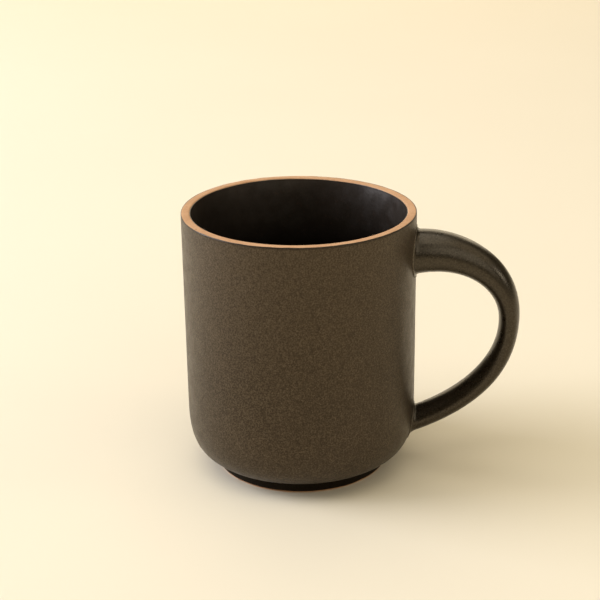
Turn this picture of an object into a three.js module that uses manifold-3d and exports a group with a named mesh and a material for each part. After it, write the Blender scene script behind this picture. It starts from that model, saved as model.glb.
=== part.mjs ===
// A stoneware mug with a pulled handle. Millimetres, +Z up, standing on z = 0, handle along +X.
// The cup, its foot ring and the handle are three pieces of clay. Two pads of slip lute the handle to
// the cup. A coat of glaze covers the clay, except on the rim and on the land that the mug stands on.
import * as THREE from 'three';
import { mergeVertices } from 'three/addons/utils/BufferGeometryUtils.js';
import Module from 'manifold-3d';

const wasm = await Module();
wasm.setup();

// Cup, measured over its glaze
const height = 97; // table to the top of the rim
const rimRadius = 42; // outside of the wall, straight from the rim down to the turn
const turnHeight = 23.3; // where the wall starts to turn in to the foot
const turnDrop = 15; // how far the turn heads straight down before it tucks under
const underReach = 6; // level length of the turn's tangent where it meets the foot
const underRise = 1.5; // rise of that tangent
const creaseInset = 10; // from the wall in to the crease above the foot
const rimWall = 3.5; // wall thickness at the rim
const lowerWall = 4.2; // wall thickness above the inside corner
const floorThickness = 5.3; // from the foot well up to the inside floor
const insideCorner = 11; // radius between the inside wall and the floor
const outerLip = 0.5; // rounding of the rim's outer edge
const innerLip = 0.6; // rounding of the rim's inner edge

// Foot ring, measured over its glaze
const footHeight = 4.5; // table to the crease
const footTaper = 0.2; // how far the foot draws in from the crease to the table
const footWidth = 4.6; // radial thickness of the ring's clay
const footBevel = 0.4; // bevel on both edges of the land
const bareFoot = 0.6; // height of bare clay left above the table

// Handle, measured over its glaze: its middle line, from the upper root to the lower
const upperRootDrop = 15.1; // from the rim down to the middle of the upper root
const lowerRootHeight = 16.1; // from the table up to the middle of the lower root
const gripReach = 33.8; // from the rim's outside out to the middle of the grip
const gripDrop = 25.3; // from the upper root down to the point furthest out
const gripArm = 18.1; // how far the grip heads straight up and down at that point
const upperArm = new THREE.Vector2(16.8, 2.4); // tangent of the middle line at the upper root
const lowerArm = new THREE.Vector2(20.9, 8.7); // tangent of the middle line at the lower root
const gripThickness = 7.4;
const gripWidth = 12.5;
const handleThickness = [15.7, 11.4, gripThickness, 8, 8.6]; // at equal steps along the handle
const handleWidth = [17, 14.5, gripWidth, 11.5, 11]; // at the same steps
const handleSquareness = 2.1; // exponent of the section's rounded outline, where 2 is an ellipse

// Glaze and joints
const glaze = 0.3; // thickness of the glaze coat
const slipThickness = 0.8; // thickness of the slip pads in the handle's joints
const slipOverhang = 1.2; // how far a pad squeezes out around the root
const seatGap = 0.3; // clearance where a piece is trimmed to the one it seats on
const rootLead = 3; // how far a root carries on along its own line before it is trimmed
const rootDepth = 8; // how far it then carries on level, inside the wall

// Fineness
const segments = 60; // round the cup
const turnSteps = 7;
const cornerSteps = 5;
const lipSteps = 2;
const handleSteps = 24;
const handleSides = 20;
const weldTolerance = 1e-4;

// Worked out from the above
const creaseRadius = rimRadius - creaseInset;
const floorTop = footHeight + floorThickness;
const clayRimOuter = rimRadius - glaze;
const clayRimInner = rimRadius - rimWall + glaze;
const clayFootOuter = creaseRadius - footTaper - glaze;
const clayFootInner = clayFootOuter - footWidth;
const clayUnderside = footHeight + glaze;
const upperRootHeight = height - upperRootDrop;
const gripRadius = rimRadius + gripReach;
const furthestOut = gripRadius + gripThickness / 2;
const axisX = (rimRadius - furthestOut) / 2; // puts the origin under the middle of the whole mug

const point = (radius, z) => new THREE.Vector2(radius, z);

// Solids

// One vertex for each place, and no triangles without area, such as a lathe leaves on its axis.
function welded(geometry) {
  geometry.deleteAttribute('normal');
  geometry.deleteAttribute('uv');
  const merged = mergeVertices(geometry, weldTolerance);
  const corners = merged.getIndex().array;
  const kept = [];
  for (let k = 0; k < corners.length; k += 3) {
    const [a, b, c] = corners.slice(k, k + 3);
    if (a !== b && b !== c && c !== a) kept.push(a, b, c);
  }
  merged.setIndex(kept);
  return merged;
}

// Turns a closed outline of (radius, z) points about the mug's axis.
function turned(outline) {
  const loop = THREE.ShapeUtils.isClockWise(outline) ? outline.toReversed() : outline;
  const lathe = new THREE.LatheGeometry([...loop, loop[0]], segments);
  lathe.rotateX(Math.PI / 2);
  return welded(lathe);
}

// Skins a row of rings, each a loop of points that turns the right-handed way about the row's direction.
function loft(rings) {
  const sides = rings[0].length;
  const last = (rings.length - 1) * sides;
  const corners = [];
  for (let start = 0; start < last; start += sides) {
    for (let k = 0; k < sides; k += 1) {
      const a = start + k;
      const b = start + ((k + 1) % sides);
      corners.push(a, b, a + sides, b, b + sides, a + sides);
    }
  }
  for (let k = 1; k + 1 < sides; k += 1) {
    corners.push(0, k + 1, k, last, last + k, last + k + 1);
  }
  const geometry = new THREE.BufferGeometry().setFromPoints(rings.flat());
  geometry.setIndex(corners);
  return geometry;
}

function solid(geometry) {
  const vertProperties = geometry.getAttribute('position').array;
  const triVerts = new Uint32Array(geometry.getIndex().array);
  return new wasm.Manifold(new wasm.Mesh({ numProp: 3, vertProperties, triVerts }));
}

function geometryOf(body) {
  const { vertProperties, triVerts } = body.getMesh();
  const geometry = new THREE.BufferGeometry();
  geometry.setAttribute('position', new THREE.BufferAttribute(vertProperties, 3));
  geometry.setIndex(new THREE.BufferAttribute(triVerts, 1));
  return geometry;
}

// Outlines of the cup

// The outside of the cup from the crease up to the rim's edge, moved out by an offset.
function outsideLine(offset) {
  const crease = point(creaseRadius, footHeight);
  const under = point(creaseRadius + underReach, footHeight + underRise);
  const drop = point(rimRadius, turnHeight - turnDrop);
  const wall = point(rimRadius, turnHeight);
  const turn = new THREE.CubicBezierCurve(crease, under, drop, wall);
  const line = [point(creaseRadius + offset, footHeight - offset)];
  for (let k = 1; k <= turnSteps; k += 1) {
    const place = turn.getPoint(k / turnSteps);
    const along = turn.getTangent(k / turnSteps);
    line.push(point(place.x + along.y * offset, place.y - along.x * offset));
  }
  line.push(point(rimRadius + offset, height - outerLip));
  return line;
}

// The inside of the cup from the rim's edge down to the middle of the floor, moved into the clay by an offset.
function insideLine(offset) {
  const cornerX = rimRadius - lowerWall - insideCorner;
  const cornerZ = floorTop + insideCorner;
  const line = [point(rimRadius - rimWall + offset, height - innerLip)];
  for (let k = 0; k <= cornerSteps; k += 1) {
    const angle = ((k / cornerSteps) * Math.PI) / 2;
    const reach = insideCorner + offset;
    line.push(point(cornerX + reach * Math.cos(angle), cornerZ - reach * Math.sin(angle)));
  }
  line.push(point(0, floorTop - offset));
  return line;
}

// A quarter round over the rim's edge, between its two ends, from one angle to another.
function lipArc(centreX, centreZ, radius, from, to) {
  const arc = [];
  for (let k = 1; k <= lipSteps; k += 1) {
    const angle = THREE.MathUtils.lerp(from, to, k / lipSteps);
    arc.push(point(centreX + radius * Math.cos(angle), centreZ + radius * Math.sin(angle)));
  }
  return arc;
}

// The handle

// The handle's middle line, as places, directions and sizes at equal steps of its curve.
function handleStations() {
  const upperRoot = point(rimRadius - glaze, upperRootHeight);
  const grip = point(gripRadius, upperRootHeight - gripDrop);
  const lowerRoot = point(rimRadius - glaze, lowerRootHeight);
  const rise = point(0, gripArm);
  const upper = new THREE.CubicBezierCurve(
    upperRoot, upperRoot.clone().add(upperArm), grip.clone().add(rise), grip);
  const lower = new THREE.CubicBezierCurve(
    grip, grip.clone().sub(rise), lowerRoot.clone().add(lowerArm), lowerRoot);
  const thickness = new THREE.SplineCurve(handleThickness.map((size, k) => point(k, size)));
  const width = new THREE.SplineCurve(handleWidth.map((size, k) => point(k, size)));
  const stations = [];
  for (let k = 0; k <= handleSteps; k += 1) {
    const share = k / handleSteps;
    const curve = share < 0.5 ? upper : lower;
    const at = share < 0.5 ? share * 2 : share * 2 - 1;
    stations.push({
      place: curve.getPoint(at),
      along: curve.getTangent(at),
      thickness: thickness.getPoint(share).y,
      width: width.getPoint(share).y,
    });
  }
  return stations;
}

// A rounded section across the handle, grown by an offset.
function handleRing({ place, along, thickness, width }, offset) {
  const ring = [];
  for (let k = 0; k < handleSides; k += 1) {
    const angle = (k / handleSides) * 2 * Math.PI;
    const round = (value) => Math.sign(value) * Math.abs(value) ** (2 / handleSquareness);
    const across = round(Math.cos(angle)) * (thickness / 2 + offset);
    const sideways = round(Math.sin(angle)) * (width / 2 + offset);
    ring.push(new THREE.Vector3(place.x - along.y * across, -sideways, place.y + along.x * across));
  }
  return ring;
}

// A root's two extra stations: on along its own line, and then level to inside the wall.
function rootEnd(station, outward) {
  const lead = station.place.clone().addScaledVector(station.along, -outward * rootLead);
  const inside = lead.clone().add(point(-rootDepth, 0));
  return [{ ...station, place: lead }, { ...station, place: inside }];
}

// The handle from one station to another, with its roots carried into the wall, grown by an offset.
function handleBody(stations, offset) {
  const rings = stations.map((station) => handleRing(station, offset));
  return solid(loft(rings));
}

// Everything inside the cup's outside, grown by an offset from the clay.
function wallBody(offset) {
  const line = outsideLine(offset - glaze);
  const top = line.at(-1);
  return solid(turned([point(0, line[0].y), ...line, point(top.x, height), point(0, height)]));
}

const middle = handleStations();
const upperEnd = rootEnd(middle[0], 1).toReversed();
const lowerEnd = rootEnd(middle.at(-1), -1);
const wholeHandle = [...upperEnd, ...middle, ...lowerEnd];
const rootSteps = 3;
const upperRootPart = [...upperEnd, ...middle.slice(0, rootSteps)];
const lowerRootPart = [...middle.slice(-rootSteps), ...lowerEnd];

// Materials

const colours = { glaze: 0x4b3f30, liner: 0x1e1914, clay: 0xc89a70, slip: 0xb98d68 };
const glazed = () => new THREE.MeshStandardMaterial({ color: colours.glaze, roughness: 0.5, metalness: 0 });
const lined = () => new THREE.MeshStandardMaterial({ color: colours.liner, roughness: 0.3, metalness: 0 });
const bare = () => new THREE.MeshStandardMaterial({ color: colours.clay, roughness: 0.85, metalness: 0 });
const slipped = () => new THREE.MeshStandardMaterial({ color: colours.slip, roughness: 0.8, metalness: 0 });

// Pieces

function cupBody() {
  const outerCentre = clayRimOuter - outerLip;
  const innerCentre = clayRimInner + innerLip;
  return turned([
    point(0, clayUnderside),
    ...outsideLine(-glaze),
    ...lipArc(outerCentre, height - outerLip, outerLip, 0, Math.PI / 2),
    point(innerCentre, height),
    ...lipArc(innerCentre, height - innerLip, innerLip, Math.PI / 2, Math.PI).slice(0, -1),
    ...insideLine(glaze),
  ]);
}

function footRing() {
  return turned([
    point(clayFootOuter + footTaper, clayUnderside),
    point(clayFootOuter, bareFoot),
    point(clayFootOuter, footBevel),
    point(clayFootOuter - footBevel, 0),
    point(clayFootInner + footBevel, 0),
    point(clayFootInner, footBevel),
    point(clayFootInner, bareFoot),
    point(clayFootInner, clayUnderside),
  ]);
}

function outsideGlaze() {
  const coat = turned([...outsideLine(0), ...outsideLine(-glaze).toReversed()]);
  const room = slipOverhang + seatGap;
  const aroundRoots = handleBody(upperRootPart, room).add(handleBody(lowerRootPart, room));
  return geometryOf(solid(coat).subtract(aroundRoots));
}

function linerGlaze() {
  return turned([...insideLine(0), ...insideLine(glaze).toReversed()]);
}

function footGlaze() {
  return turned([
    point(creaseRadius, footHeight),
    point(clayFootOuter + glaze, bareFoot),
    point(clayFootOuter, bareFoot),
    point(clayFootOuter + footTaper, clayUnderside),
  ]);
}

function footWellGlaze() {
  return turned([
    point(0, clayUnderside),
    point(clayFootInner, clayUnderside),
    point(clayFootInner, bareFoot),
    point(clayFootInner - glaze, bareFoot),
    point(clayFootInner - glaze, footHeight),
    point(0, footHeight),
  ]);
}

function handleClay() {
  const seat = wallBody(slipThickness + 2 * seatGap);
  return geometryOf(handleBody(wholeHandle, -glaze).subtract(seat));
}

function handleGlaze() {
  const seat = wallBody(slipThickness + 2 * seatGap);
  const coat = handleBody(wholeHandle, 0).subtract(handleBody(wholeHandle, -glaze));
  return geometryOf(coat.subtract(seat));
}

function slipJoint(rootPart) {
  const pad = handleBody(rootPart, slipOverhang).intersect(wallBody(seatGap + slipThickness));
  return geometryOf(pad.subtract(wallBody(seatGap)));
}

function piece(name, geometry, material) {
  geometry.computeVertexNormals();
  const mesh = new THREE.Mesh(geometry, material);
  mesh.name = name;
  return mesh;
}

const mug = new THREE.Group();
mug.name = 'mug';
mug.position.x = axisX;
mug.add(
  piece('cup_body', cupBody(), bare()),
  piece('foot_ring', footRing(), bare()),
  piece('handle', handleClay(), bare()),
  piece('upper_slip_joint', slipJoint(upperRootPart), slipped()),
  piece('lower_slip_joint', slipJoint(lowerRootPart), slipped()),
  piece('outside_glaze', outsideGlaze(), glazed()),
  piece('liner_glaze', linerGlaze(), lined()),
  piece('handle_glaze', handleGlaze(), glazed()),
  piece('foot_glaze', footGlaze(), glazed()),
  piece('foot_well_glaze', footWellGlaze(), glazed()),
);

export default mug;
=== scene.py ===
import math

import bpy
from mathutils import Matrix, Vector, noise


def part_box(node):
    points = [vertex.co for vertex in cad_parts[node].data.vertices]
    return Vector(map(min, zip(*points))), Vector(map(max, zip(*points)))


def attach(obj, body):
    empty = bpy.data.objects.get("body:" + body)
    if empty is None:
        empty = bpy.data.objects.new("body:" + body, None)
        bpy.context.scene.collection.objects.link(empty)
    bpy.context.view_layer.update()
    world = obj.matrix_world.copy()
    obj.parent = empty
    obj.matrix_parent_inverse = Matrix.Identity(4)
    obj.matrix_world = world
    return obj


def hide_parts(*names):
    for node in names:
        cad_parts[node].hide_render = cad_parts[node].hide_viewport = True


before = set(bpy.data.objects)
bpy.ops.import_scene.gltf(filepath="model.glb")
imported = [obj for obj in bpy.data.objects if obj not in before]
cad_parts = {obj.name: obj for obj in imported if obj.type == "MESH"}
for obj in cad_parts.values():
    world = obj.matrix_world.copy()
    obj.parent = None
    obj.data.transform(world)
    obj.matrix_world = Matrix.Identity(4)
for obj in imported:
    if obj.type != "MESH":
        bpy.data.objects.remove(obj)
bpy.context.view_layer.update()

MM = 0.001

# From the frame
cup_low, cup_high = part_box("cup_body")
coat_low, coat_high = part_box("outside_glaze")
foot_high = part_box("foot_ring")[1]
foot_coat_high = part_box("foot_glaze")[1]
well_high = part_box("foot_well_glaze")[1]
liner_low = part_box("liner_glaze")[0]
handle_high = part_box("handle_glaze")[1]

AXIS = (cup_low.x + cup_high.x) / 2
HEIGHT = cup_high.z
RIM_RADIUS = coat_high.y
GLAZE = coat_high.y - cup_high.y
CREASE_RADIUS = foot_coat_high.y
CREASE_HEIGHT = coat_low.z
FOOT_RADIUS = foot_high.y
WELL_RADIUS = well_high.y
WELL_TOP = well_high.z
FLOOR_TOP = liner_low.z + GLAZE
GRIP_OUT = handle_high.x - AXIS

# The cup, as in the frame's solids
TURN_HEIGHT = 23.3 * MM
TURN_DROP = 15 * MM
UNDER_REACH = 6 * MM
UNDER_RISE = 1.5 * MM
LOWER_WALL = 4.2 * MM
RIM_WALL = 3.5 * MM
INSIDE_CORNER = 11 * MM
OUTER_LIP = 0.5 * MM
INNER_LIP = 0.6 * MM
FOOT_WIDTH = 4.6 * MM
FOOT_TAPER = 0.2 * MM
FOOT_BEVEL = 0.4 * MM
BARE_FOOT = 0.6 * MM

# The handle's middle line, as in the frame's solids
GRIP_THICKNESS = 7.4 * MM
UPPER_ROOT = Vector((RIM_RADIUS - GLAZE, 0, HEIGHT - 15.1 * MM))
GRIP = Vector((GRIP_OUT - GRIP_THICKNESS / 2, 0, UPPER_ROOT.z - 25.3 * MM))
LOWER_ROOT = Vector((RIM_RADIUS - GLAZE, 0, 16.1 * MM))
GRIP_ARM = Vector((0, 0, 18.1 * MM))
UPPER_ARM = Vector((16.8 * MM, 0, 2.4 * MM))
LOWER_ARM = Vector((20.9 * MM, 0, 8.7 * MM))
THICKNESS = [15.7 * MM, 11.4 * MM, GRIP_THICKNESS, 8.0 * MM, 8.6 * MM]
WIDTH = [17 * MM, 14.5 * MM, 12.5 * MM, 11.5 * MM, 11 * MM]
SQUARENESS = 2.1

# Meshes
SHARP_EDGE = 35  # degrees: edges over this stay crisp
ALL_SMOOTH = 180
ON_AXIS = 1e-7

# Fine detail of the cup that only the looks need
SEGMENTS = 288
LINE_STEPS = 44
SUNK = 0.08 * MM  # how far a coat's hidden back reaches into its clay
EDGE_THIN = 0.15 * MM  # glaze at its edge, where it has drawn back from the bare clay
COAT_THINS = 3 * MM  # the depth under the lip over which a coat thins to that
RING_GAP = 0.2 * MM
LIP_STEP = 0.4 * MM  # between the rings just under the lip
LIP_FLARE = 0.55 * MM  # how far the inside opens over the last few millimetres
LIP_FLARE_DEPTH = 7 * MM
LIP_FLARE_INWARD = 0.85  # the share of the flare by which the inside is narrower, below it
RIM_DIP = 0.55 * MM
RIM_DIP_DEPTH = 15 * MM
RIM_DIP_BEARING = 0.75  # radians round from the handle, toward the back
LIP_UNEVEN = 0.02 * MM
LIP_UNEVEN_DEPTH = 4 * MM
LIP_RIPPLES = [(0.04 * MM, 3, 8.8)]  # size, waves round the cup, seed
FOOT_RIPPLES = [(0.12 * MM, 3, 2.2), (0.08 * MM, 14, 6.1)]
EDGE_RIPPLES = [(0.35, 2.5, 1.3), (0.25, 11, 4.2)]
EDGE_TILT = 0.25
OUTSIDE_SWELL = (0.04 * MM, 60)  # size, and waves per metre
INSIDE_SWELL = (0.06 * MM, 70)
# How far round the lip each coat's front and back go, in degrees round the lip's centre, and the rounded edge
# between them, with its height over the clay
OUTSIDE_FRONT = 40
OUTSIDE_BACK = 44
INSIDE_FRONT = 160
INSIDE_BACK = 156
OUTSIDE_EDGE = [(44, 0.12 * MM), (47, 0.07 * MM), (48, 0.02 * MM), (48, -SUNK)]
INSIDE_EDGE = [(152, -SUNK), (152, 0.02 * MM), (153, 0.07 * MM), (156, 0.12 * MM)]
FOOT_EDGE_ACROSS = 0.25 * MM
FOOT_EDGE_UP = 0.3 * MM
FOOT_EDGE_DEPTH = 1.5 * MM
FOOT_COAT_SHOULDER = (0.17 * MM, 0.5 * MM)  # in from the crease, up from the bare line
WELL_CORNER = 1.2 * MM
WELL_SAG = 0.2 * MM
WELL_STEPS = 12

# Fine detail of the handle that only the looks need
HANDLE_SIDES = 72
HANDLE_STEPS = 96
LEAN = [-0.12, -0.08, 0.04, 0.16, 0.2]  # how far the widest place leans to the handle's outer side
RUN_ON = 120 * MM  # per share of the handle, where it runs on straight into the cup
ROOT_SHARE = 0.12  # the share of the handle that each root's rails cover
IN_WALL = 0.05  # the share by which the search for the wall starts inside the cup
UPPER_SHARES = (-IN_WALL, ROOT_SHARE)
LOWER_SHARES = (1 + IN_WALL, 1 - ROOT_SHARE)
SEARCH_STEPS = 40
SKIN_STEP = 0.001  # a small share, to measure how long the skin is there
AROUND_STEP = 0.02  # a small angle, to find the direction round the handle
UPPER_FILLET = (1.9 * MM, 1.7 * MM)  # outer side, inner side
LOWER_FILLET = (2.8 * MM, 1.5 * MM)
FILLET_STEPS = 10
FILLET_SUNK = 1.2 * MM
FILLET_BITE = 0.02 * MM
RIDGE_STEPS = 96
RIDGE_SIDES = 12
RIDGE_HALF = (0.1 * MM, 0.2 * MM)  # half thickness above and below the root, and what the flanks add
RIDGE_PLACE = 0.8  # out from the root, as a share of the fillet
RIDGE_RISE = 0.12 * MM

# Heights between which a glaze changes, or over which painted light and shade on it fade
# The charcoal glaze grows lighter over these heights, partly as it thins and partly as painted light falling
# from above.
CHARCOAL_THINS_AND_TOP_LIGHT = (30 * MM, HEIGHT + 6 * MM)
CHARCOAL_DARKENS = (HEIGHT - 1.1 * MM, HEIGHT - 0.3 * MM)
# Over the next two ranges the liner's painted shade fades out toward the rim: first its darkened colour, then
# its dimmed reflection.
LINER_SHADE_FADES = (HEIGHT - 36 * MM, HEIGHT + 4 * MM)
LINER_REFLECTION_SHADE_FADES = (HEIGHT - 32 * MM, HEIGHT - 2 * MM)
IRON_SHOWS = (HEIGHT - 45 * MM, HEIGHT)

# Colours
BROWN_TINT = (1.0, 0.78, 0.56)
HANDLE_TINT = (1.0, 0.84, 0.63)
LINER_TINT = (1.0, 0.9, 0.8)
DARK_GRIT = (0.003, 0.002, 0.001)
DARK_EDGE = (0.004, 0.003, 0.0025)
# The first colours are painted shade: the liner darkened almost to black low in the cup. The second are its
# colour near the rim.
LINER_PAINTED_SHADE_DEEP = ((0.0006, 0.0004, 0.0002), (0.0012, 0.0008, 0.0004))
LINER_NEAR_RIM = ((0.02, 0.0145, 0.0098), (0.03, 0.0215, 0.015))
IRON_BROWN = (0.05, 0.024, 0.013)
CLAY_GROUND = ((0.49, 0.266, 0.126), (0.575, 0.334, 0.173))
CLAY_GROG = (0.4, 0.19, 0.09)
CLAY_SPECK = (0.12, 0.05, 0.025)
CREAM = ((0.83, 0.742, 0.57), (0.84, 0.752, 0.58))
COOL = (0.95, 0.99, 1.15)
NEUTRAL = (1.02, 0.98, 0.88)
WARM = (1.06, 0.92, 0.68)
WORLD_COLOUR = (1.0, 0.8, 0.4)
WORLD_STRENGTH = 0.06

# The camera: degrees, metres and, for the lens and sensor, millimetres
LENS = 90
SENSOR_WIDTH = 36
CAMERA_BEARING = 5.19  # from straight in front toward the handle
CAMERA_AWAY = 0.509
CAMERA_HEIGHT = 0.2615
CAMERA_ROLL = -0.8
CAMERA_AIM = 62.15 * MM
CLIP_START = 0.01
CLIP_END = 50

# The lights: name, bearing and elevation in degrees, (width, height), power, colour
LIGHT_AIM = 50 * MM
LIGHT_DISTANCE = 1.8
LIGHTS = [
    ("key", 268, 22, (1.1, 0.9), 27, COOL),
    ("high_key", 284, 42, (0.9, 0.9), 6, COOL),
    ("overhead", 270, 78, (2.2, 2.2), 23, NEUTRAL),
    ("front_right", 30, 33, (1.7, 1.2), 7.5, NEUTRAL),
    ("right", 84, 20, (0.5, 0.4), 2.3, NEUTRAL),
    ("high_right", 88, 52, (1.3, 1.1), 3.8, WARM),
    ("backdrop", 185, 20, (2.1, 1.1), 13, WARM),
]
FLOOR_REACH = 6.0


# Numbers and curves

def clamped(value):
    return min(1, max(0, value))


def on_circle(centre, radius, degrees):
    angle = math.radians(degrees)
    return centre[0] + radius * math.cos(angle), centre[1] + radius * math.sin(angle)


def arc(centre, radius, start, end, steps):
    """Points round a centre from one angle to another, in degrees."""
    return [on_circle(centre, radius, start + (end - start) * k / steps) for k in range(steps + 1)]


def bezier(ends, share):
    """Place and unit direction on a cubic curve given by its four points."""
    a, b, c, d = ends
    rest = 1 - share
    place = a * rest ** 3 + b * 3 * rest ** 2 * share + c * 3 * rest * share ** 2 + d * share ** 3
    along = (b - a) * rest ** 2 + (c - b) * 2 * rest * share + (d - c) * share ** 2
    return place, along.normalized()


def through(values, share):
    """A smooth value through equal steps, with the ends repeated."""
    at = share * (len(values) - 1)
    first = min(int(at), len(values) - 2)
    part = at - first
    before = values[max(first - 1, 0)]
    start, end = values[first], values[first + 1]
    after = values[min(first + 2, len(values) - 1)]
    slope_start, slope_end = (end - before) / 2, (after - start) / 2
    return ((2 * start - 2 * end + slope_start + slope_end) * part ** 3
            + (3 * end - 3 * start - 2 * slope_start - slope_end) * part ** 2
            + slope_start * part + start)


def ripples(angle, rows):
    """A smooth closed wobble round the cup, the sum of rows of (size, waves, seed)."""
    round_cup = Vector((math.cos(angle), math.sin(angle), 0))
    return sum(size * noise.noise(round_cup * waves + Vector((seed, 3.1 * seed, 7.7)))
               for size, waves, seed in rows)


# Meshes

def new_object(name, points, faces, material, sharp=SHARP_EDGE):
    """A smooth-shaded mesh object whose edges over `sharp` degrees stay crisp."""
    mesh = bpy.data.meshes.new(name)
    mesh.from_pydata([tuple(point) for point in points], [], faces)
    mesh.validate()
    mesh.update()
    mesh.shade_smooth()
    mesh.set_sharp_from_angle(angle=math.radians(sharp))
    piece = bpy.data.objects.new(name, mesh)
    bpy.context.scene.collection.objects.link(piece)
    mesh.materials.append(material)
    return piece


def turned(name, outline, material, shift=None):
    """Turns a closed outline of (radius, z) about the cup's axis. `shift` moves each (angle, radius, z)."""
    loop = [Vector((radius, z)) for radius, z in outline]
    area = sum(a.x * b.y - b.x * a.y for a, b in zip(loop, loop[1:] + loop[:1]))
    if area < 0:
        loop.reverse()
    points = []
    starts = []
    for corner in loop:
        starts.append(len(points))
        steps = SEGMENTS if corner.x > ON_AXIS else 1
        for step in range(steps):
            angle = 2 * math.pi * step / SEGMENTS
            radius, z = shift(angle, corner.x, corner.y) if shift else (corner.x, corner.y)
            points.append((AXIS + radius * math.cos(angle), radius * math.sin(angle), z))
    faces = []
    for this in range(len(loop)):
        following = (this + 1) % len(loop)
        on_axis = (loop[this].x <= ON_AXIS, loop[following].x <= ON_AXIS)
        if all(on_axis):
            continue
        for step in range(SEGMENTS):
            turn = (step + 1) % SEGMENTS
            a = starts[this] + (0 if on_axis[0] else step)
            b = starts[this] + (0 if on_axis[0] else turn)
            c = starts[following] + (0 if on_axis[1] else turn)
            d = starts[following] + (0 if on_axis[1] else step)
            face = [a, b, c, d]
            faces.append([corner for n, corner in enumerate(face) if corner != face[n - 1]])
    return new_object(name, points, faces, material)


def lofted(name, rings, material):
    """Skins a row of rings of equal length and closes both ends."""
    sides = len(rings[0])
    points = [point for ring in rings for point in ring]
    faces = []
    for start in range(0, (len(rings) - 1) * sides, sides):
        for k in range(sides):
            turn = (k + 1) % sides
            faces.append([start + k, start + turn, start + sides + turn, start + sides + k])
    last = (len(rings) - 1) * sides
    faces.append(list(reversed(range(sides))))
    faces.append([last + k for k in range(sides)])
    return new_object(name, points, faces, material)


# Outlines of the cup

def outside_line(offset):
    """The cup's outside from the crease to the lip, as (radius, z), moved out by an offset."""
    ends = [
        Vector((CREASE_RADIUS, CREASE_HEIGHT)),
        Vector((CREASE_RADIUS + UNDER_REACH, CREASE_HEIGHT + UNDER_RISE)),
        Vector((RIM_RADIUS, TURN_HEIGHT - TURN_DROP)),
        Vector((RIM_RADIUS, TURN_HEIGHT)),
    ]
    line = []
    for k in range(LINE_STEPS + 1):
        place, along = bezier(ends, k / LINE_STEPS)
        line.append((place.x + along.y * offset, place.y - along.x * offset))
    top = HEIGHT - OUTER_LIP
    for k in range(1, LINE_STEPS + 1):
        line.append((RIM_RADIUS + offset, TURN_HEIGHT + (top - TURN_HEIGHT) * k / LINE_STEPS))
    return line


def inside_line(offset):
    """The cup's inside from the lip to the middle of the floor, moved into the clay by an offset."""
    low = RIM_RADIUS - LOWER_WALL
    top_radius = RIM_RADIUS - RIM_WALL
    corner = (low - INSIDE_CORNER, FLOOR_TOP + INSIDE_CORNER)
    top = HEIGHT - INNER_LIP
    line = []
    for k in range(LINE_STEPS):
        share = k / LINE_STEPS
        line.append((top_radius + (low - top_radius) * share + offset, top + (corner[1] - top) * share))
    line += arc(corner, INSIDE_CORNER + offset, 0, -90, 16)
    line.append((0, FLOOR_TOP - offset))
    return line


WALL_LINE = outside_line(0)


def wall_radius(z):
    """The radius of the cup's glazed outside at a height."""
    if z >= WALL_LINE[-1][1]:
        return WALL_LINE[-1][0]
    for (r0, z0), (r1, z1) in zip(WALL_LINE, WALL_LINE[1:]):
        if z0 <= z <= z1:
            return r0 + (r1 - r0) * (z - z0) / (z1 - z0)
    return WALL_LINE[0][0]


# Materials

def material(name):
    made = bpy.data.materials.new(name)
    made.use_nodes = True
    tree = made.node_tree
    return made, tree, tree.nodes["Principled BSDF"]


def add(tree, kind, **settings):
    node = tree.nodes.new(kind)
    for key, value in settings.items():
        setattr(node, key, value)
    return node


def object_place(tree):
    return add(tree, "ShaderNodeTexCoord").outputs["Object"]


def height_of(tree, coords):
    split = add(tree, "ShaderNodeSeparateXYZ")
    tree.links.new(coords, split.inputs[0])
    return split.outputs["Z"]


def noise_of(tree, coords, scale, detail=2.0, rough=0.5):
    node = add(tree, "ShaderNodeTexNoise")
    node.inputs["Scale"].default_value = scale
    node.inputs["Detail"].default_value = detail
    node.inputs["Roughness"].default_value = rough
    tree.links.new(coords, node.inputs["Vector"])
    return node.outputs["Fac"]


def ranged(tree, value, given, wanted=(0, 1)):
    """Carries a socket's value smoothly from one range to another, and holds it at the ends."""
    node = add(tree, "ShaderNodeMapRange", interpolation_type="SMOOTHSTEP")
    node.inputs["From Min"].default_value, node.inputs["From Max"].default_value = given
    node.inputs["To Min"].default_value, node.inputs["To Max"].default_value = wanted
    tree.links.new(value, node.inputs["Value"])
    return node.outputs["Result"]


def spots_of(tree, coords, scale, edge):
    """1 inside round spots and 0 between them. `edge` is where they start and end to fade."""
    node = add(tree, "ShaderNodeTexVoronoi")
    node.inputs["Scale"].default_value = scale
    tree.links.new(coords, node.inputs["Vector"])
    return ranged(tree, node.outputs["Distance"], edge, (1, 0))


def times(tree, a, b):
    node = add(tree, "ShaderNodeMath", operation="MULTIPLY")
    tree.links.new(a, node.inputs[0])
    tree.links.new(b, node.inputs[1])
    return node.outputs[0]


def mixed(tree, amount, first, second):
    """Mixes two colours, given as a socket or as (r, g, b), by a socket's amount."""
    node = add(tree, "ShaderNodeMix", data_type="RGBA")
    tree.links.new(amount, node.inputs["Factor"])
    for socket, colour in ((node.inputs[6], first), (node.inputs[7], second)):
        if isinstance(colour, tuple):
            socket.default_value = (*colour, 1)
        else:
            tree.links.new(colour, socket)
    return node.outputs[2]


def scaled(colour, factor):
    return tuple(factor * part for part in colour)


def bumped(tree, shader, layers):
    """Stacks bump layers of (height socket, distance in metres) into the shader's normal."""
    normal = None
    for height, distance in layers:
        node = add(tree, "ShaderNodeBump")
        node.inputs["Strength"].default_value = 1
        node.inputs["Distance"].default_value = distance
        tree.links.new(height, node.inputs["Height"])
        if normal is not None:
            tree.links.new(normal, node.inputs["Normal"])
        normal = node.outputs["Normal"]
    tree.links.new(normal, shader.inputs["Normal"])


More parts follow.
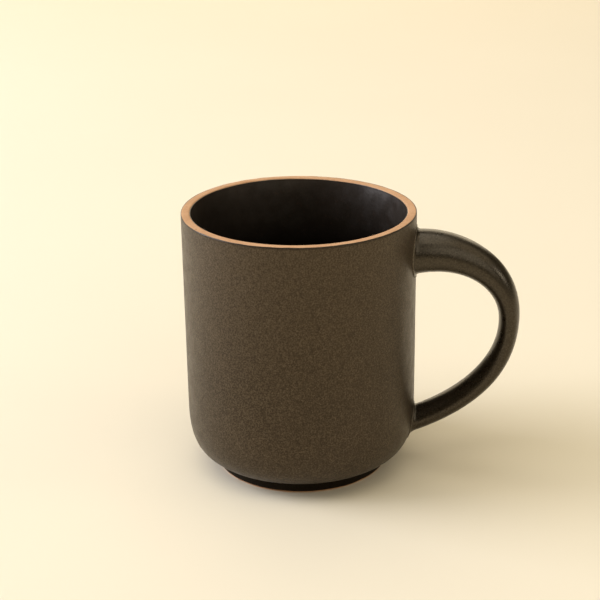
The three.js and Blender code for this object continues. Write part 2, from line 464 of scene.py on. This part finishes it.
def charcoal_glaze(name, ground, sheen, rough, specular, tint):
    """Satin charcoal-brown glaze. Soft clouds between two ground colours grow lighter toward the rim, partly
    as the glaze thins and partly as painted light from above, under a fine grain, flecks and grit, with a
    dark edge at the lip."""
    made, tree, shader = material(name)
    coords = object_place(tree)
    height = height_of(tree, coords)
    clouds = ranged(tree, noise_of(tree, coords, scale=32, detail=4, rough=0.6), (0.3, 0.7))
    # Lighter toward the rim: partly the glaze thinning, partly painted light from above.
    thin_and_top_light = ranged(tree, height, CHARCOAL_THINS_AND_TOP_LIGHT, (0.06, 0.6))
    grain = ranged(tree, noise_of(tree, coords, scale=1700, detail=3, rough=0.7), (0.48, 0.66))
    fleck = spots_of(tree, coords, scale=1500, edge=(0.12, 0.36))
    few = ranged(tree, noise_of(tree, coords, scale=300, detail=1), (0.36, 0.6), (0, 0.6))
    grit = noise_of(tree, coords, scale=1900, detail=1)
    edge = ranged(tree, height, CHARCOAL_DARKENS, (0, 0.85))
    gloss = ranged(tree, noise_of(tree, coords, scale=260, detail=3, rough=0.6), (0.3, 0.7), rough)
    shine = ranged(tree, grit, (0.34, 0.66), (0.85 * specular, 1.15 * specular))

    colour = mixed(tree, clouds, *ground)
    # Lightening toward the rim, in the ground and in the grain: partly thinner glaze, partly painted light
    # from above.
    colour = mixed(tree, thin_and_top_light, colour, scaled(sheen, 1.22))
    colour = mixed(tree, grain, colour, mixed(tree, thin_and_top_light, sheen, scaled(sheen, 1.7)))
    colour = mixed(tree, times(tree, fleck, few), colour, scaled(sheen, 2.6))
    colour = mixed(tree, ranged(tree, grit, (0.34, 0.5), (0.45, 0)), colour, DARK_GRIT)
    colour = mixed(tree, ranged(tree, grit, (0.5, 0.68), (0, 0.35)), colour, scaled(sheen, 2.2))
    colour = mixed(tree, edge, colour, DARK_EDGE)
    tree.links.new(colour, shader.inputs["Base Color"])
    tree.links.new(gloss, shader.inputs["Roughness"])
    tree.links.new(shine, shader.inputs["Specular IOR Level"])
    shader.inputs["Specular Tint"].default_value = (*tint, 1)
    shader.inputs["IOR"].default_value = 1.52
    bumped(tree, shader, [
        (noise_of(tree, coords, scale=1300, detail=3, rough=0.6), 0.045 * MM),
        (noise_of(tree, coords, scale=190), 0.05 * MM),
    ])
    return made


def liner_glaze():
    """Near-black liner glaze with a little iron showing through toward the rim. Low in the cup its colour and
    its reflection are darkened further as painted shade.
    """
    made, tree, shader = material("liner_glaze")
    coords = object_place(tree)
    height = height_of(tree, coords)
    clouds = ranged(tree, noise_of(tree, coords, scale=40, detail=4, rough=0.6), (0.35, 0.7))
    # Painted shade: 0 low in the cup, where the liner is darkened to black, and 1 near the rim.
    out_of_shade = ranged(tree, height, LINER_SHADE_FADES)
    iron = ranged(tree, noise_of(tree, coords, scale=700, detail=3, rough=0.7), (0.55, 0.8), (0, 0.5))
    iron = times(tree, iron, ranged(tree, height, IRON_SHOWS))
    gloss = ranged(tree, noise_of(tree, coords, scale=220, detail=3, rough=0.6), (0.3, 0.7), (0.32, 0.42))
    # Painted shade on the reflection as well: it is dimmed almost to nothing low in the cup.
    shine = ranged(tree, height, LINER_REFLECTION_SHADE_FADES, (0.02, 0.95))

    painted_shade_deep = mixed(tree, clouds, *LINER_PAINTED_SHADE_DEEP)
    colour = mixed(tree, out_of_shade, painted_shade_deep, mixed(tree, clouds, *LINER_NEAR_RIM))
    colour = mixed(tree, iron, colour, IRON_BROWN)
    tree.links.new(colour, shader.inputs["Base Color"])
    tree.links.new(gloss, shader.inputs["Roughness"])
    tree.links.new(shine, shader.inputs["Specular IOR Level"])
    shader.inputs["Specular Tint"].default_value = (*LINER_TINT, 1)
    shader.inputs["IOR"].default_value = 1.5
    bumped(tree, shader, [
        (noise_of(tree, coords, scale=900, detail=3, rough=0.6), 0.03 * MM),
        (noise_of(tree, coords, scale=150), 0.07 * MM),
    ])
    return made


def bare_clay():
    """Fired sandy clay: warm ground, fine grog, and a few iron specks."""
    made, tree, shader = material("bare_clay")
    coords = object_place(tree)
    clouds = ranged(tree, noise_of(tree, coords, scale=90, detail=4, rough=0.6), (0.3, 0.7))
    grog = ranged(tree, noise_of(tree, coords, scale=1500, detail=3, rough=0.7), (0.45, 0.75), (0, 0.6))
    speck = spots_of(tree, coords, scale=420, edge=(0.09, 0.16))
    few = ranged(tree, noise_of(tree, coords, scale=160, detail=1), (0.56, 0.66), (0, 0.85))
    gloss = ranged(tree, noise_of(tree, coords, scale=600), (0.3, 0.7), (0.75, 0.92))

    colour = mixed(tree, clouds, *CLAY_GROUND)
    colour = mixed(tree, grog, colour, CLAY_GROG)
    colour = mixed(tree, times(tree, speck, few), colour, CLAY_SPECK)
    tree.links.new(colour, shader.inputs["Base Color"])
    tree.links.new(gloss, shader.inputs["Roughness"])
    shader.inputs["IOR"].default_value = 1.45
    bumped(tree, shader, [
        (noise_of(tree, coords, scale=1700, detail=3, rough=0.7), 0.06 * MM),
        (noise_of(tree, coords, scale=350), 0.06 * MM),
    ])
    return made


def cream_paper():
    """Smooth matt cream paper under the mug."""
    made, tree, shader = material("cream_paper")
    soft = ranged(tree, noise_of(tree, object_place(tree), scale=4), (0.3, 0.7))
    tree.links.new(mixed(tree, soft, *CREAM), shader.inputs["Base Color"])
    shader.inputs["Roughness"].default_value = 0.9
    shader.inputs["Specular IOR Level"].default_value = 0.2
    return made


CHARCOAL = charcoal_glaze(
    "charcoal_glaze", ground=((0.011, 0.0066, 0.003), (0.017, 0.0105, 0.005)),
    sheen=(0.046, 0.034, 0.021), rough=(0.36, 0.46), specular=0.5, tint=BROWN_TINT)
# A darker, glossier copy of the charcoal glaze on the handle: its darker ground is painted shade where the
# handle sits in the cup's shadow.
SHADED_CHARCOAL_HANDLE = charcoal_glaze(
    "charcoal_glaze_handle_painted_shade", ground=((0.005, 0.0031, 0.0015), (0.01, 0.0066, 0.0033)),
    sheen=(0.014, 0.011, 0.0075), rough=(0.26, 0.34), specular=0.62, tint=HANDLE_TINT)
# A much lighter copy of the charcoal glaze: a painted highlight along the slip ridges.
CHARCOAL_RIDGE_HIGHLIGHT = charcoal_glaze(
    "charcoal_glaze_ridge_painted_highlight", ground=((0.05, 0.04, 0.028), (0.08, 0.064, 0.044)),
    sheen=(0.11, 0.09, 0.064), rough=(0.36, 0.46), specular=0.5, tint=BROWN_TINT)
# A darker, duller copy of the charcoal glaze: painted shade on the foot under the cup's body.
SHADED_CHARCOAL_FOOT = charcoal_glaze(
    "charcoal_glaze_foot_painted_shade", ground=((0.002, 0.0012, 0.0006), (0.004, 0.0025, 0.0012)),
    sheen=(0.007, 0.005, 0.0025), rough=(0.5, 0.6), specular=0.14, tint=BROWN_TINT)
LINER = liner_glaze()
CLAY = bare_clay()
PAPER = cream_paper()


# Pieces of the cup

def edge_reach(angle):
    """How far round the lip the glaze's edge has crept, as a share of its usual reach."""
    return 1 + EDGE_TILT * math.cos(angle + 1) + ripples(angle, EDGE_RIPPLES)


def lip_flare(z):
    """How much wider the inside is than in the frame at a height: narrower low down, wider at the lip."""
    share = clamped(1 - (HEIGHT - INNER_LIP - z) / LIP_FLARE_DEPTH)
    return LIP_FLARE * (share ** 2 - LIP_FLARE_INWARD)


def rim_dip(angle, z):
    """How far the rim, never quite level, has settled on the side behind the handle."""
    share = max(0, math.cos(angle - RIM_DIP_BEARING)) ** 2
    return RIM_DIP * share * clamped(1 - (HEIGHT - z) / RIM_DIP_DEPTH)


def wall_swell(angle, radius, z, top, size, waves):
    """The soft unevenness of a coat's surface, fading out toward the lip."""
    place = Vector((radius * math.cos(angle), radius * math.sin(angle), z))
    return size * noise.noise(place * waves) * clamped((top - z) / COAT_THINS)


def turned_round(centre, start, radius, z, share):
    """Moves a point round a lip's centre: its angle from `start` is scaled by a share."""
    across, up = radius - centre[0], z - centre[1]
    angle = start + (math.atan2(up, across) - start) * share
    size = math.hypot(across, up)
    return centre[0] + size * math.cos(angle), centre[1] + size * math.sin(angle)


def make_cup_clay():
    outer_top = HEIGHT - OUTER_LIP
    inner_top = HEIGHT - INNER_LIP
    lip_outer = RIM_RADIUS - EDGE_THIN
    lip_inner = RIM_RADIUS - RIM_WALL + EDGE_THIN
    outline = [(0, WELL_TOP), *outside_line(-GLAZE)[:-6]]
    outline += [(lip_outer, outer_top - 6 * LIP_STEP), (lip_outer, outer_top - LIP_STEP)]
    outline += arc((lip_outer - OUTER_LIP, outer_top), OUTER_LIP, 0, 90, 10)
    outline += arc((lip_inner + INNER_LIP, inner_top), INNER_LIP, 90, 180, 8)
    outline += [(lip_inner, inner_top - LIP_STEP), (lip_inner, inner_top - 6 * LIP_STEP)]
    outline += inside_line(GLAZE)[2:]

    def shift(angle, radius, z):
        flare = lip_flare(z) if radius < lip_inner + GLAZE + INNER_LIP else 0
        uneven = LIP_UNEVEN + ripples(angle, LIP_RIPPLES)
        return radius + flare, z - rim_dip(angle, z) - uneven * clamped(1 - (HEIGHT - z) / LIP_UNEVEN_DEPTH)

    piece = turned("cup_clay", outline, CLAY, shift)
    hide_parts("cup_body")
    return piece, "bare_clay"


def make_outside_coat():
    top = HEIGHT - OUTER_LIP
    outer = RIM_RADIUS
    lip = (outer - EDGE_THIN - OUTER_LIP, top)
    front = [(r, z) for r, z in outside_line(0) if z < top - 3 * LIP_STEP]
    edge = [(outer, top - 2 * LIP_STEP), (outer, top - LIP_STEP)]
    edge += arc(lip, OUTER_LIP + EDGE_THIN, 0, OUTSIDE_FRONT, 8)
    edge += [on_circle(lip, OUTER_LIP + over, turn) for turn, over in OUTSIDE_EDGE]
    back = arc(lip, OUTER_LIP - SUNK, OUTSIDE_BACK, 0, 4)
    back += [(outer - EDGE_THIN - SUNK, top - COAT_THINS / 2), (outer - GLAZE - SUNK, top - COAT_THINS)]
    back += [(r, z) for r, z in reversed(outside_line(-GLAZE - SUNK)) if z < top - COAT_THINS - RING_GAP]

    def shift(angle, radius, z):
        if z > top:
            radius, z = turned_round(lip, 0, radius, z, edge_reach(angle))
            return radius, z - rim_dip(angle, z)
        return radius + wall_swell(angle, radius, z, top, *OUTSIDE_SWELL), z - rim_dip(angle, z)

    piece = turned("outside_coat", front + edge + back, CHARCOAL, shift)
    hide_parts("outside_glaze")
    return piece, "charcoal_glaze"


def make_liner_coat():
    top = HEIGHT - INNER_LIP
    inner = RIM_RADIUS - RIM_WALL
    lip = (inner + EDGE_THIN + INNER_LIP, top)
    edge = [on_circle(lip, INNER_LIP + over, turn) for turn, over in INSIDE_EDGE]
    edge += arc(lip, INNER_LIP + EDGE_THIN, INSIDE_FRONT, 180, 6)
    edge += [(inner, top - LIP_STEP), (inner, top - 2 * LIP_STEP)]
    front = [(r, z) for r, z in inside_line(0) if z < top - 3 * LIP_STEP]
    back = [(r, z) for r, z in reversed(inside_line(GLAZE + SUNK)) if z < top - COAT_THINS - RING_GAP]
    back += [(inner + GLAZE + SUNK, top - COAT_THINS), (inner + EDGE_THIN + SUNK, top - COAT_THINS / 2)]
    back += arc(lip, INNER_LIP - SUNK, 180, INSIDE_BACK, 4)

    def shift(angle, radius, z):
        if z > top:
            radius, z = turned_round(lip, math.pi, radius, z, edge_reach(angle + 2))
            return radius + lip_flare(z), z - rim_dip(angle, z)
        swell = wall_swell(angle, radius, z, top, *INSIDE_SWELL)
        return radius + lip_flare(z) + swell, z - rim_dip(angle, z)

    piece = turned("liner_coat", edge + front + back, LINER, shift)
    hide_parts("liner_glaze")
    return piece, "liner_glaze"


def make_foot_clay():
    outer = FOOT_RADIUS - FOOT_TAPER
    inner = outer - FOOT_WIDTH
    outline = [(FOOT_RADIUS, CREASE_HEIGHT + GLAZE), (outer, BARE_FOOT)]
    outline += arc((outer - FOOT_BEVEL, FOOT_BEVEL), FOOT_BEVEL, 0, -90, 6)
    outline += arc((inner + FOOT_BEVEL, FOOT_BEVEL), FOOT_BEVEL, -90, -180, 6)
    outline += [(inner, CREASE_HEIGHT + GLAZE)]
    piece = turned("foot_clay", outline, CLAY)
    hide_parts("foot_ring")
    return piece, "bare_clay"


def make_foot_coat():
    low = BARE_FOOT
    outer = CREASE_RADIUS
    nose = (outer - FOOT_TAPER - FOOT_EDGE_ACROSS, low + FOOT_EDGE_UP)
    inward, up = FOOT_COAT_SHOULDER
    outline = [(outer, CREASE_HEIGHT + 0.02 * MM), (outer - inward, low + up)]
    outline += [(nose[0] + FOOT_EDGE_ACROSS * math.cos(turn), nose[1] - FOOT_EDGE_UP * math.sin(turn))
                for turn in (math.radians(degrees) for degrees in range(10, 91, 10))]
    outline += [(FOOT_RADIUS - FOOT_TAPER - SUNK, low + 0.1 * MM)]
    outline += [(FOOT_RADIUS - SUNK, CREASE_HEIGHT + RING_GAP)]

    def shift(angle, radius, z):
        return radius, z + ripples(angle, FOOT_RIPPLES) * clamped(1 - (z - low) / FOOT_EDGE_DEPTH)

    # The foot's coat takes the darkened copy of the glaze, as painted shade.
    piece = turned("foot_coat", outline, SHADED_CHARCOAL_FOOT, shift)
    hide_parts("foot_glaze")
    return piece, "charcoal_glaze"


def make_well_coat():
    clay, glazed = WELL_RADIUS, WELL_RADIUS - GLAZE
    top = CREASE_HEIGHT
    flat = clay - 2 * WELL_CORNER
    outline = [(0, WELL_TOP + SUNK), (clay + SUNK, WELL_TOP + SUNK), (clay + SUNK, BARE_FOOT + 0.2 * MM)]
    outline += [(clay - EDGE_THIN, BARE_FOOT + 0.1 * MM), (glazed, BARE_FOOT + 0.5 * MM)]
    outline += arc((glazed - WELL_CORNER, top - WELL_CORNER), WELL_CORNER, 0, 90, 8)
    outline += [(flat * (1 - k / WELL_STEPS), top - WELL_SAG * math.sin(math.pi / 2 * k / WELL_STEPS))
                for k in range(WELL_STEPS + 1)]
    piece = turned("foot_well_coat", outline, CHARCOAL)
    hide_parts("foot_well_glaze")
    return piece, "charcoal_glaze"


# The handle

def handle_station(share):
    """Place, direction, thickness, width and lean at a share of the handle, which runs on straight
    beyond its ends."""
    inside = clamped(share)
    if inside < 0.5:
        ends = [UPPER_ROOT, UPPER_ROOT + UPPER_ARM, GRIP + GRIP_ARM, GRIP]
        place, along = bezier(ends, inside * 2)
    else:
        ends = [GRIP, GRIP - GRIP_ARM, LOWER_ROOT + LOWER_ARM, LOWER_ROOT]
        place, along = bezier(ends, inside * 2 - 1)
    place = place + along * (share - inside) * RUN_ON
    return place, along, through(THICKNESS, inside), through(WIDTH, inside), through(LEAN, inside)


def handle_point(share, angle):
    """A point on the handle's skin, `angle` round from its outer side."""
    place, along, thickness, width, lean = handle_station(share)
    cos, sin = math.cos(angle), math.sin(angle)
    across = math.copysign(abs(cos) ** (2 / SQUARENESS), cos) * thickness / 2
    sideways = math.copysign(abs(sin) ** (2 / SQUARENESS), sin) * width / 2 * (1 + lean * cos)
    return Vector((place.x - along.z * across, -sideways, place.z + along.x * across))


def meets_wall(angle, inside, outside):
    """The share at which the handle's skin crosses the cup's outside, between two shares."""
    for _ in range(SEARCH_STEPS):
        middle = (inside + outside) / 2
        point = handle_point(middle, angle)
        if math.hypot(point.x, point.y) < wall_radius(point.z):
            inside = middle
        else:
            outside = middle
    return (inside + outside) / 2


def on_wall(point, rise=0):
    """The nearest place at the same height and bearing on the cup's outside."""
    radius = wall_radius(point.z) + rise
    scale = radius / math.hypot(point.x, point.y)
    return Vector((point.x * scale, point.y * scale, point.z))


def outward(point):
    """The cup's level outward direction at a point."""
    return Vector((point.x, point.y, 0)).normalized()


def fillet_at(sizes, angle):
    """The fillet round a root, from its size on the handle's outer side to that on its inner side."""
    return sizes[0] + (sizes[1] - sizes[0]) * (1 - math.cos(angle)) / 2


def root_rail(angle, shares, sizes):
    """From inside the wall out to the second of two shares: a fillet, then the handle's own skin."""
    crossing = meets_wall(angle, *shares)
    corner = handle_point(crossing, angle)
    fillet = fillet_at(sizes, angle)
    step = math.copysign(SKIN_STEP, shares[1] - crossing)
    skin_start = crossing + step * fillet / (handle_point(crossing + step, angle) - corner).length
    skin_end = handle_point(skin_start, angle)
    around = handle_point(crossing, angle + AROUND_STEP) - handle_point(crossing, angle - AROUND_STEP)
    away = around.cross(outward(corner))
    if away.dot(corner - handle_station(crossing)[0]) < 0:
        away = -away
    foot = on_wall(corner + away.normalized() * fillet)
    rail = [on_wall(foot, -FILLET_SUNK), on_wall(foot, -FILLET_BITE)]
    for k in range(1, FILLET_STEPS + 1):
        share = k / (FILLET_STEPS + 1)
        rail.append(foot * (1 - share) ** 2 + corner * 2 * share * (1 - share) + skin_end * share ** 2)
    rail.append(skin_end)
    for k in range(1, FILLET_STEPS + 1):
        rail.append(handle_point(skin_start + (shares[1] - skin_start) * k / FILLET_STEPS, angle))
    return rail


def from_axis(point):
    """A place given from the cup's axis, in the frame."""
    return Vector((point.x + AXIS, point.y, point.z))


def make_handle_coat():
    angles = [2 * math.pi * k / HANDLE_SIDES for k in range(HANDLE_SIDES)]
    upper = [root_rail(angle, UPPER_SHARES, UPPER_FILLET) for angle in angles]
    lower = [root_rail(angle, LOWER_SHARES, LOWER_FILLET) for angle in angles]
    rings = [list(ring) for ring in zip(*upper)]
    for k in range(1, HANDLE_STEPS):
        share = ROOT_SHARE + (1 - 2 * ROOT_SHARE) * k / HANDLE_STEPS
        rings.append([handle_point(share, angle) for angle in angles])
    rings += [list(ring) for ring in reversed(list(zip(*lower)))]
    rings = [[from_axis(point) for point in ring] for ring in rings]
    # The handle's coat takes the darkened copy of the glaze, as painted shade.
    piece = lofted("handle_coat", rings, SHADED_CHARCOAL_HANDLE)
    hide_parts("handle_glaze", "handle")
    return piece, "charcoal_glaze"


def make_slip_ridge(name, node, shares, sizes):
    """The narrow raised line of slip round a root, under the glaze. Its glaze is the much lighter copy, a
    painted highlight along the line.
    """
    points = []
    for k in range(RIDGE_STEPS):
        angle = 2 * math.pi * k / RIDGE_STEPS
        crossing = meets_wall(angle, *shares)
        corner = handle_point(crossing, angle)
        normal = outward(corner)
        out = corner - handle_station(crossing)[0]
        out = (out - normal * out.dot(normal)).normalized()
        half = RIDGE_HALF[0] + RIDGE_HALF[1] * math.sin(angle) ** 2
        middle = on_wall(corner + out * fillet_at(sizes, angle) * RIDGE_PLACE, RIDGE_RISE)
        for j in range(RIDGE_SIDES):
            turn = 2 * math.pi * j / RIDGE_SIDES
            points.append(from_axis(middle + normal * half * math.sin(turn) + out * half * math.cos(turn)))
    faces = []
    for this in range(RIDGE_STEPS):
        following = (this + 1) % RIDGE_STEPS
        for j in range(RIDGE_SIDES):
            beside = (j + 1) % RIDGE_SIDES
            corners = [(this, j), (this, beside), (following, beside), (following, j)]
            faces.append([row * RIDGE_SIDES + column for row, column in corners])
    piece = new_object(name, points, faces, CHARCOAL_RIDGE_HIGHLIGHT, sharp=ALL_SMOOTH)
    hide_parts(node)
    return piece, "charcoal_glaze"


# Camera, light and floor

def make_camera():
    data = bpy.data.cameras.new("camera")
    data.lens = LENS
    data.sensor_width = SENSOR_WIDTH
    data.clip_start = CLIP_START
    data.clip_end = CLIP_END
    camera = bpy.data.objects.new("camera", data)
    bpy.context.scene.collection.objects.link(camera)
    bearing = math.radians(CAMERA_BEARING)
    place = Vector((AXIS + CAMERA_AWAY * math.sin(bearing), -CAMERA_AWAY * math.cos(bearing), CAMERA_HEIGHT))
    aim = Vector((AXIS, 0, CAMERA_AIM))
    look = (aim - place).to_track_quat("-Z", "Y").to_matrix().to_4x4()
    roll = Matrix.Rotation(math.radians(CAMERA_ROLL), 4, "Z")
    camera.matrix_world = Matrix.Translation(place) @ look @ roll
    bpy.context.scene.camera = camera


def make_floor():
    far = FLOOR_REACH
    corners = [(-far, -far, 0), (far, -far, 0), (far, far, 0), (-far, far, 0)]
    floor = new_object("floor", corners, [(0, 1, 2, 3)], PAPER)


def area_light(name, bearing, elevation, size, power, colour):
    """A light of (width, height) turned to the mug. Bearing 0 is in front of the mug and 90 beyond its
    handle, in degrees."""
    data = bpy.data.lights.new(name, "AREA")
    data.shape = "RECTANGLE"
    data.size, data.size_y = size
    data.energy = power
    data.color = colour
    light = bpy.data.objects.new(name, data)
    bpy.context.scene.collection.objects.link(light)
    turn, tilt = math.radians(bearing), math.radians(elevation)
    toward = Vector((math.sin(turn) * math.cos(tilt), -math.cos(turn) * math.cos(tilt), math.sin(tilt)))
    light.location = Vector((AXIS, 0, LIGHT_AIM)) + toward * LIGHT_DISTANCE
    light.rotation_euler = (-toward).to_track_quat("-Z", "Y").to_euler()


def make_lights():
    for light in LIGHTS:
        area_light(*light)
    world = bpy.data.worlds.new("studio")
    world.use_nodes = True
    background = world.node_tree.nodes["Background"]
    background.inputs["Color"].default_value = (*WORLD_COLOUR, 1)
    background.inputs["Strength"].default_value = WORLD_STRENGTH
    bpy.context.scene.world = world
    bpy.context.scene.view_settings.view_transform = "Standard"


make_camera()
made = [
    make_cup_clay(),
    make_outside_coat(),
    make_liner_coat(),
    make_foot_clay(),
    make_foot_coat(),
    make_well_coat(),
    make_handle_coat(),
    make_slip_ridge("upper_slip_ridge", "upper_slip_joint", UPPER_SHARES, UPPER_FILLET),
    make_slip_ridge("lower_slip_ridge", "lower_slip_joint", LOWER_SHARES, LOWER_FILLET),
]
for piece, slot in made:
    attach(piece, "root")
make_floor()
make_lights()
